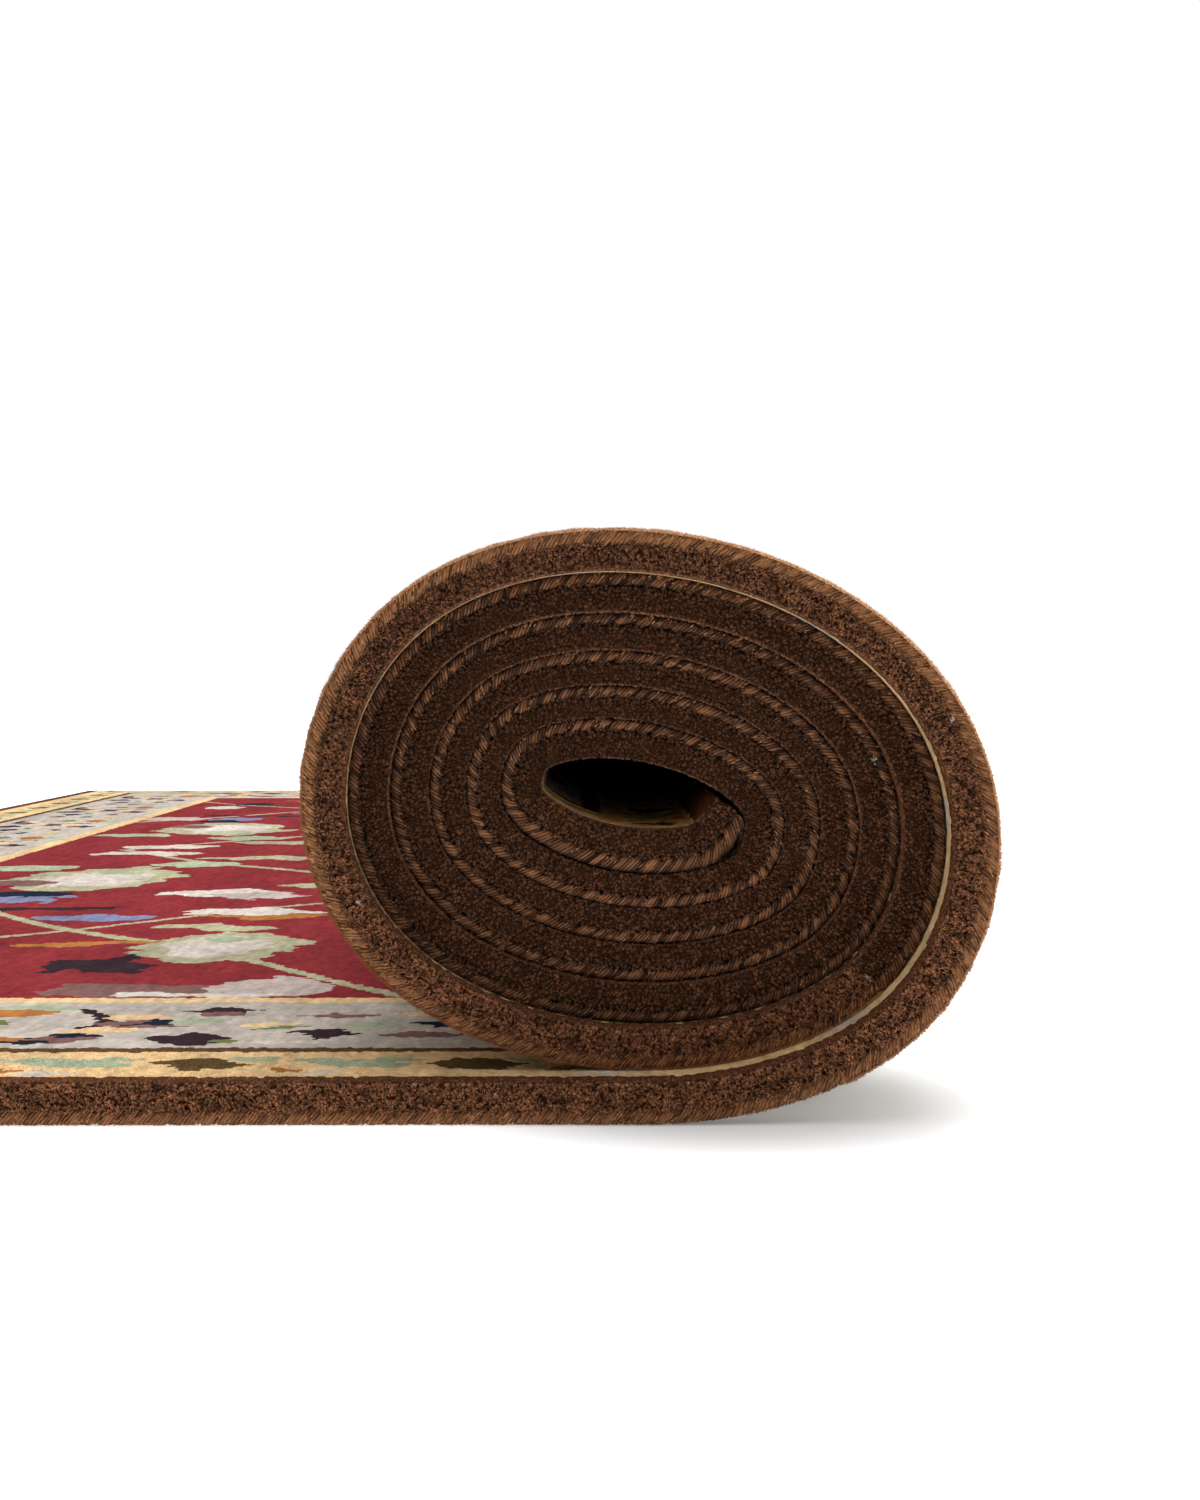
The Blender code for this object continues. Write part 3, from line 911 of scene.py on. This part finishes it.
def rug_design(tree, spot):
    """The figured design's colour at a place on the flat rug, in millimetres."""
    parts = add(tree, "ShaderNodeSeparateXYZ", {0: spot}).node.outputs
    across, along = parts[0], parts[1]
    side = from_edges(tree, across, RUG_WIDTH)
    end = from_edges(tree, along, RUG.length)
    inward = calc(tree, "MINIMUM", side, end)
    by_side = calc(tree, "LESS_THAN", side, end)
    beside = add(tree, "ShaderNodeMix", {0: by_side, 2: side, 3: end}, data_type="FLOAT")

    # the plain bands
    share = calc(tree, "DIVIDE", inward, RAMP_LENGTH)
    ramp = add(tree, "ShaderNodeValToRGB", {0: share}).node
    ramp.color_ramp.interpolation = "CONSTANT"
    for i, band in enumerate(BANDS):
        stops = ramp.color_ramp.elements
        stop = stops[i] if i < 2 else stops.new(band.start / RAMP_LENGTH)
        stop.position = band.start / RAMP_LENGTH
        stop.color = linear(band.colour)
    colour = ramp.outputs[0]

    # the borders' patches, which repeat along the edge
    for repeat, patches in ((GUARD_REPEAT, GUARD_PATCHES), (BORDER_REPEAT, BORDER_PATCHES)):
        place = calc(tree, "SUBTRACT", beside, repeat.start)
        place = calc(tree, "FLOORED_MODULO", place, repeat.length)
        border_spot = add(tree, "ShaderNodeCombineXYZ", {0: place, 1: inward})
        border_spot = ragged(tree, border_spot, spot, 11.0, 11.0)
        colour = paint_patches(tree, colour, border_spot, patches)

    # the field's vines and patches
    run = calc(tree, "SUBTRACT", end, BORDER_WIDTH)
    fold = calc(tree, "PINGPONG", run, FIELD_REPEAT)
    in_field = calc(tree, "GREATER_THAN", inward, BORDER_WIDTH)
    for vine in VINES:
        sway = calc(tree, "MULTIPLY", fold, 0.035)
        sway = calc(tree, "SINE", sway)
        line = calc(tree, "MULTIPLY_ADD", sway, 9.0, vine.across)
        line = calc(tree, "MULTIPLY_ADD", fold, vine.slope, line)
        near = calc(tree, "COMPARE", side, line, vine.half_width)
        near = calc(tree, "MULTIPLY", near, in_field)
        colour = blend(tree, near, colour, linear(VINE_GREEN))
    field_spot = add(tree, "ShaderNodeCombineXYZ", {0: side, 1: fold})
    field_spot = ragged(tree, field_spot, spot, 26.0, 40.0)
    figured = paint_patches(tree, colour, field_spot, FIELD_PATCHES)
    return blend(tree, in_field, colour, figured)


def cut_pile_wool():
    """Wool yarn tufted through a cloth and sheared level: soft, matt, each tuft a shade of its own."""
    material, tree, shader = new_material("cut_pile_wool", Roughness=1.0, IOR=WOOL_IOR,
                                          Specular_IOR_Level=0.02)
    spot = flat_spot(tree)
    tufts = add(tree, "ShaderNodeVectorMath", {0: spot, 3: 1 / TUFT}, operation="SCALE")
    cells = add(tree, "ShaderNodeTexVoronoi", {"Vector": tufts, "Scale": 1.0, "Randomness": 0.85},
                voronoi_dimensions="2D").node.outputs
    tuft_spot = add(tree, "ShaderNodeVectorMath", {0: cells["Position"], 3: TUFT}, operation="SCALE")
    design = rug_design(tree, tuft_spot)
    fibres = add(tree, "ShaderNodeTexNoise", {"Vector": spot, "Scale": 1 / FIBRE, "Detail": 2.0})
    own = add(tree, "ShaderNodeSeparateColor", {0: cells["Color"]})
    own = add(tree, "ShaderNodeMapRange", {0: own, 3: 0.88, 4: 1.1})
    fleck = add(tree, "ShaderNodeMapRange", {0: fibres, 3: 0.78, 4: 1.22})
    # lighter and darker blotches at random over the pile, large ones and smaller ones
    lie = add(tree, "ShaderNodeVectorMath", {0: spot, 1: (0.012, 0.04, 0.04)}, operation="MULTIPLY")
    blotches = add(tree, "ShaderNodeTexNoise", {"Vector": lie, "Scale": 1.0, "Detail": 4.0, "Roughness": 0.65})
    blotches = add(tree, "ShaderNodeMapRange", {0: blotches, 1: 0.3, 2: 0.7, 3: 0.74, 4: 1.2})
    lie = add(tree, "ShaderNodeVectorMath", {0: spot, 1: (0.07, 0.25, 0.25)}, operation="MULTIPLY")
    mottle = add(tree, "ShaderNodeTexNoise", {"Vector": lie, "Scale": 1.0, "Detail": 2.0})
    mottle = add(tree, "ShaderNodeMapRange", {0: mottle, 1: 0.3, 2: 0.7, 3: 0.84, 4: 1.14})
    blotches = calc(tree, "MULTIPLY", blotches, mottle)
    value = calc(tree, "MULTIPLY", own, fleck)
    value = calc(tree, "MULTIPLY", value, blotches)
    shaded = add(tree, "ShaderNodeHueSaturation", {"Color": design, "Value": value})
    tree.links.new(shaded, shader.inputs["Base Color"])
    dome = calc(tree, "MULTIPLY_ADD", cells["Distance"], -0.6, 1.0)
    height = calc(tree, "MULTIPLY_ADD", fibres, 0.5, dome)
    bump = add(tree, "ShaderNodeBump", {"Height": height, "Strength": 0.6, "Distance": 0.0009})
    tree.links.new(bump, shader.inputs["Normal"])
    return material


def edge_pile_wool():
    """The brown edge yarn seen from its side: painted shade between the tufts, and painted light at the
    fibres' tips.
    """
    material, tree, shader = new_material("edge_pile_wool", Roughness=0.9, IOR=WOOL_IOR,
                                          Specular_IOR_Level=0.15, Sheen_Weight=0.1, Sheen_Roughness=0.4)
    tip = stored(tree, "tip")
    shade = stored(tree, "shade")
    # painted shade at each tuft's foot and painted light at its tip
    root_to_tip = blend(tree, tip, linear("#241008"), linear("#c0825a"))
    value = add(tree, "ShaderNodeMapRange", {0: shade, 3: 0.2, 4: 1.75})
    shaded = add(tree, "ShaderNodeHueSaturation", {"Color": root_to_tip, "Value": value})
    tree.links.new(shaded, shader.inputs["Base Color"])
    return material


def pile_roots():
    """The edge yarn deep between its tufts, where little light gets in."""
    material, tree, shader = new_material("edge_pile_roots", Roughness=1.0, IOR=WOOL_IOR,
                                          Specular_IOR_Level=0.02)
    flat = stored(tree, "flat", out=1)
    clumps = add(tree, "ShaderNodeTexNoise", {"Vector": flat, "Scale": 900.0, "Detail": 2.0})
    dark = blend(tree, clumps, linear("#1a0d06"), linear("#5a341d"))
    tree.links.new(dark, shader.inputs["Base Color"])
    return material


def loose_yarn_fibre(name, dark, light):
    """Fibres standing off the overcasting yarn, lighter than the edge pile. The rim's copy is lighter still,
    its colours painted with back light.
    """
    material, tree, shader = new_material(name, Roughness=0.85, IOR=WOOL_IOR, Specular_IOR_Level=0.2,
                                          Sheen_Weight=0.1, Sheen_Roughness=0.4)
    shade = stored(tree, "shade")
    fibre = blend(tree, shade, linear(dark), linear(light))
    tree.links.new(fibre, shader.inputs["Base Color"])
    return material


def cotton_lint():
    """Bits of pale cotton fluff, which the wool holds on to."""
    material, tree, shader = new_material("cotton_lint", Roughness=1.0, IOR=1.53, Specular_IOR_Level=0.1)
    flat = stored(tree, "flat", out=1)
    tone = add(tree, "ShaderNodeTexNoise", {"Vector": flat, "Scale": 700.0, "Detail": 1.0})
    fluff = blend(tree, tone, linear("#8f8277"), linear("#dcd3c9"))
    tree.links.new(fluff, shader.inputs["Base Color"])
    return material


def overcast_yarn():
    """Plied wool yarn wrapped round the edge: slanting strands, with painted light on their tops and painted
    shade in between.
    """
    material, tree, shader = new_material("overcast_wool_yarn", Roughness=0.85, IOR=WOOL_IOR,
                                          Specular_IOR_Level=0.2, Sheen_Weight=0.1, Sheen_Roughness=0.4)
    painted_light_and_tone = stored(tree, "painted_light_and_tone")
    run = stored(tree, "run")
    girth = stored(tree, "girth")
    strand = calc(tree, "MULTIPLY", run, 2 * math.pi / (STRAND * MM))
    strand = calc(tree, "SINE", strand)
    across_strands = calc(tree, "MULTIPLY", run, 1 / (FIBRE * MM))
    hair_place = add(tree, "ShaderNodeCombineXYZ", {0: across_strands, 1: girth})
    hairs = add(tree, "ShaderNodeTexNoise", {"Vector": hair_place, "Scale": 1.0, "Detail": 2.0})
    # from dark to light by the painted light and shade on the strands and the yarn's own tone
    yarn = blend(tree, painted_light_and_tone, linear("#221009"), linear("#b87c53"))
    value = add(tree, "ShaderNodeMapRange", {0: hairs, 3: 0.6, 4: 1.4})
    shaded = add(tree, "ShaderNodeHueSaturation", {"Color": yarn, "Value": value})
    tree.links.new(shaded, shader.inputs["Base Color"])
    height = calc(tree, "MULTIPLY_ADD", hairs, 0.6, strand)
    bump = add(tree, "ShaderNodeBump", {"Height": height, "Strength": 0.5, "Distance": 0.0002})
    tree.links.new(bump, shader.inputs["Normal"])
    return material


CLOTH_THREAD = 2.4      # between the backing cloth's threads, drawn coarser than their 1.2 mm to show
HEM = 38.0              # the cloth folded over along each edge
HEM_SEAM = 1.6          # half the width of the line of stitches that holds it


def backing_cloth():
    """Plain-woven cotton canvas glued to the tufts' roots and hemmed: dull, its threads showing."""
    material, tree, shader = new_material("cotton_backing_canvas", Roughness=0.9, IOR=1.53,
                                          Specular_IOR_Level=0.2)
    parts = add(tree, "ShaderNodeSeparateXYZ", {0: flat_spot(tree)}).node.outputs
    threads, edges = [], []
    for width, part in ((RUG_WIDTH, parts[0]), (RUG.length, parts[1])):
        turn = calc(tree, "MULTIPLY", part, math.pi / CLOTH_THREAD)
        threads.append(calc(tree, "SINE", turn))
        edges.append(from_edges(tree, part, width))
    inward = calc(tree, "MINIMUM", *edges)
    weave = calc(tree, "MULTIPLY", threads[0], threads[1])
    weave = calc(tree, "ABSOLUTE", weave)
    cotton = blend(tree, weave, linear("#8e8776"), linear("#cdc6b6"))
    patchy = add(tree, "ShaderNodeTexNoise", {"Vector": stored(tree, "flat", out=1), "Scale": 14.0,
                                              "Detail": 5.0})
    value = add(tree, "ShaderNodeMapRange", {0: patchy, 1: 0.3, 2: 0.7, 3: 0.8, 4: 1.12})
    shaded = add(tree, "ShaderNodeHueSaturation", {"Color": cotton, "Value": value})
    on_hem = calc(tree, "LESS_THAN", inward, HEM)
    hemmed = blend(tree, on_hem, shaded, linear("#b9b2a0"))
    seam = calc(tree, "COMPARE", inward, HEM, HEM_SEAM)
    sewn = blend(tree, seam, hemmed, linear("#5d5546"))
    tree.links.new(sewn, shader.inputs["Base Color"])
    height = calc(tree, "ADD", on_hem, weave)
    bump = add(tree, "ShaderNodeBump", {"Height": height, "Strength": 0.5, "Distance": 0.0006})
    tree.links.new(bump, shader.inputs["Normal"])
    return material


# ---- the studio ----

PAINTED_SHADOW_CENTRE = (0.27, -0.90, 0.0)    # on the table, beside the roll's near end, where the table's glow is dimmed as a painted shadow of the roll
GLOW_RADII = (0.04, 0.11)           # the glow grows between these distances from there,
GLOW_LEVELS = (0.16, 0.72)          # from the first strength to the second
FLOOR_REACH = 30.0


def make_floor():
    """A white acrylic table that glows softly as painted light, least beside the roll, as a painted shadow.
    """
    material, tree, shader = new_material("white_studio_floor", Roughness=0.7)
    shader.inputs["Base Color"].default_value = (0.9, 0.9, 0.9, 1.0)
    shader.inputs["Emission Color"].default_value = (1.0, 1.0, 1.0, 1.0)
    place = add(tree, "ShaderNodeTexCoord", out=3)
    away = add(tree, "ShaderNodeVectorMath", {0: place, 1: PAINTED_SHADOW_CENTRE}, out=1, operation="DISTANCE")
    glow = add(tree, "ShaderNodeMapRange", {0: away, 1: GLOW_RADII[0], 2: GLOW_RADII[1], 3: GLOW_LEVELS[0],
                                            4: GLOW_LEVELS[1]}, interpolation_type="SMOOTHSTEP")
    # painted light and painted shadow: the table glows, least beside the roll
    tree.links.new(glow, shader.inputs["Emission Strength"])
    data = bpy.data.meshes.new("floor")
    corners = [(x * FLOOR_REACH, y * FLOOR_REACH, 0) for x, y in ((-1, -1), (1, -1), (1, 1), (-1, 1))]
    data.from_pydata(corners, [], [(0, 1, 2, 3)])
    data.materials.append(material)
    floor = bpy.data.objects.new("floor", data)
    bpy.context.scene.collection.objects.link(floor)


def make_light(name, place, target, size, power):
    data = bpy.data.lights.new(name, "AREA")
    data.size = size
    data.energy = power
    lamp = bpy.data.objects.new(name, data)
    lamp.location = place
    direction = np.array(target) - np.array(place)
    lamp.rotation_euler = Vector(direction).to_track_quat("-Z", "Y").to_euler()
    bpy.context.scene.collection.objects.link(lamp)


# The studio's light by direction: its strength level with the rug, and how it rises backwards and upwards
LIGHT_AT_SIDE = 0.3
LIGHT_RISE = (0.0, 0.55, 1.15)
LIGHT_LEAST = 0.05
BACKGROUND_LEVEL = 1.02     # the plain white seen behind everything


def make_studio():
    """A white studio, lit from above and behind, with less light from the roll's near end."""
    world = bpy.data.worlds.new("white_studio")
    world.use_nodes = True
    tree = world.node_tree
    white = tree.nodes["Background"]
    white.inputs["Color"].default_value = (1.0, 1.0, 1.0, 1.0)
    white.inputs["Strength"].default_value = BACKGROUND_LEVEL
    direction = add(tree, "ShaderNodeTexCoord")
    level = add(tree, "ShaderNodeVectorMath", {0: direction, 1: LIGHT_RISE}, out=1, operation="DOT_PRODUCT")
    level = calc(tree, "ADD", level, LIGHT_AT_SIDE)
    level = calc(tree, "MAXIMUM", level, LIGHT_LEAST)
    soft = add(tree, "ShaderNodeBackground", {"Strength": level})
    seen = add(tree, "ShaderNodeLightPath")
    both = add(tree, "ShaderNodeMixShader", {0: seen, 1: soft, 2: white.outputs[0]})
    tree.links.new(both, tree.nodes["World Output"].inputs["Surface"])
    bpy.context.scene.world = world
    bpy.context.scene.view_settings.view_transform = "Standard"
    make_light("overhead", place=(0.1, 0.4, 3.0), target=(0.1, -0.4, 0.0), size=2.5, power=40.0)
    make_floor()


LENS = 51.6
CAMERA_X = 0.2209
CAMERA_DISTANCE = 0.6235    # from the rug's near edge
CAMERA_HEIGHT = 0.127
LOOKS_DOWN_DEG = 1.6
LOOKS_RIGHT_DEG = 0.4


def make_camera():
    data = bpy.data.cameras.new("camera")
    data.lens = LENS
    camera = bpy.data.objects.new("camera", data)
    camera.location = (CAMERA_X, NEAR_EDGE_Y * MM - CAMERA_DISTANCE, CAMERA_HEIGHT)
    camera.rotation_euler = (math.radians(90.0 - LOOKS_DOWN_DEG), 0.0, math.radians(-LOOKS_RIGHT_DEG))
    bpy.context.scene.collection.objects.link(camera)
    bpy.context.scene.camera = camera


def main():
    make_studio()
    make_camera()
    pile = cut_pile_wool()
    rug = make_rug(pile, backing_cloth(), pile_roots())
    bindings = make_bindings(overcast_yarn())
    # the rim's fibres take a lighter copy of the loose fibre, its colours painted with back light
    fuzz = make_fuzz(edge_pile_wool(), loose_yarn_fibre("loose_yarn_fibre", "#54301c", "#cf935f"),
                     loose_yarn_fibre("backlit_yarn_fibre", "#8d5833", "#ffc68f"), cotton_lint(), pile)


main()
